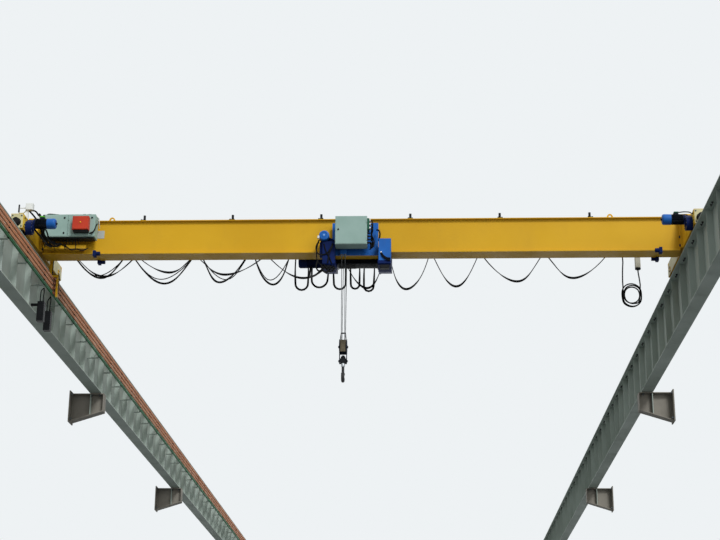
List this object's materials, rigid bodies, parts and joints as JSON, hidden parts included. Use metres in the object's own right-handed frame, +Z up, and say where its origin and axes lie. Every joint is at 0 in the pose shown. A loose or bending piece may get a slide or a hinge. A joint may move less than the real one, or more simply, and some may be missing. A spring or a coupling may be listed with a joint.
{
  "type": "overhead travelling bridge crane",
  "caption": "Overhead travelling bridge crane: a box girder on powered end trucks, a low-headroom rope hoist with hook block, festooned cables and a stowed pendant, on a raised corbel runway.",
  "frame": {"origin": "middle of the back face of the first left corbel's anchor plate, on the column's face", "axes": "+X across the hall from the left columns to the right ones, +Y along the runway away from the first corbels, +Z up"},
  "size_m": [10.6, 36.32, 2.591],
  "materials": {
    "runway_paint": "grey-green structural paint, semi-matt",
    "rail_steel": "worn rolled steel with a polished head",
    "yellow_paint": "golden yellow enamel, satin",
    "blue_paint": "bright blue enamel, satin",
    "navy_paint": "dark blue enamel, satin",
    "cabinet_paint": "light grey-green powder coat, fine texture",
    "alarm_red": "signal red enamel, satin",
    "switch_paint": "off-white enamel, satin",
    "phase_conductor": "copper-brown insulated conductor cover",
    "earth_conductor": "dark green insulated conductor cover",
    "black_steel": "black enamel, semi-matt",
    "track_steel": "dull galvanised track",
    "machined_steel": "turned steel, lightly oiled",
    "rope_steel": "greased wire rope",
    "block_paint": "dull ochre enamel, worn",
    "black_rubber": "matt moulded rubber",
    "cable_sheath": "flexible black cable sheath",
    "station_plastic": "beige moulded plastic"
  },
  "bodies": {
    "runway": {"runway_beams_left": "runway_paint", "runway_beams_right": "runway_paint", "crane_rails": "rail_steel", "corbels": "runway_paint", "end_stops": "yellow_paint", "conductor_bars": "phase_conductor", "earth_bar": "earth_conductor", "bar_brackets": "black_steel", "feed_boxes": "black_steel"},
    "bridge": {"girder_top_flange": "yellow_paint", "girder_bottom_flange": "yellow_paint", "girder_webs": "yellow_paint", "girder_end_plates": "yellow_paint", "lifting_lugs": "yellow_paint", "trolley_stops": "navy_paint", "end_truck_left": "yellow_paint", "end_truck_right": "yellow_paint", "bridge_wheels": "machined_steel", "bridge_buffers": "black_rubber", "travel_gear_units": "navy_paint", "travel_motors": "blue_paint", "control_cabinets": "cabinet_paint", "cabinet_brackets": "yellow_paint", "alarm_box": "alarm_red", "limit_switch": "switch_paint", "collector_arm": "yellow_paint", "collector_shoes": "phase_conductor", "festoon_arms": "black_steel", "festoon_tracks": "track_steel", "pendant_line_carriers": "black_steel", "pendant_line_cable": "cable_sheath", "pendant_station": "station_plastic", "pendant_cable": "cable_sheath", "pendant_coil": "cable_sheath", "hoist_line_carriers": "black_steel", "hoist_line_cable": "cable_sheath"},
    "trolley": {"trolley_front_plate": "blue_paint", "trolley_rear_plate": "blue_paint", "cross_frame_left": "navy_paint", "cross_frame_right": "navy_paint", "trolley_wheels": "machined_steel", "trolley_drive": "blue_paint", "counterweight": "blue_paint", "hoist_cabinet": "cabinet_paint", "hoist_drum": "machined_steel", "hoist_gearbox": "navy_paint", "hoist_motor": "navy_paint", "tow_arm": "navy_paint", "drum_ropes": "rope_steel", "anchor_ropes": "rope_steel"},
    "hook_block": {"block_cheeks": "block_paint", "block_sheaves": "machined_steel", "block_crosshead": "black_steel"},
    "hook": {"hook": "black_steel", "hook_latch": "track_steel"}
  },
  "joints": [
    {"name": "bridge_travel", "type": "slide", "parent": "runway", "child": "bridge", "axis": [0, 1, 0], "range_m": [-2.93, 30.29]},
    {"name": "trolley_travel", "type": "slide", "parent": "bridge", "child": "trolley", "axis": [1, 0, 0], "range_m": [-3.32, 3.86], "deforming": ["hoist_line_carriers", "hoist_line_cable"]},
    {"name": "hoist_lift", "type": "slide", "parent": "trolley", "child": "hook_block", "axis": [0, 0, 1], "range_m": [-7, 0.95], "deforming": ["drum_ropes", "anchor_ropes"]},
    {"name": "hook_swivel", "type": "hinge", "parent": "hook_block", "child": "hook", "pos_m": [5.08, 4.32, -0.446], "axis": [0, 0, 1], "continuous": true}
  ]
}
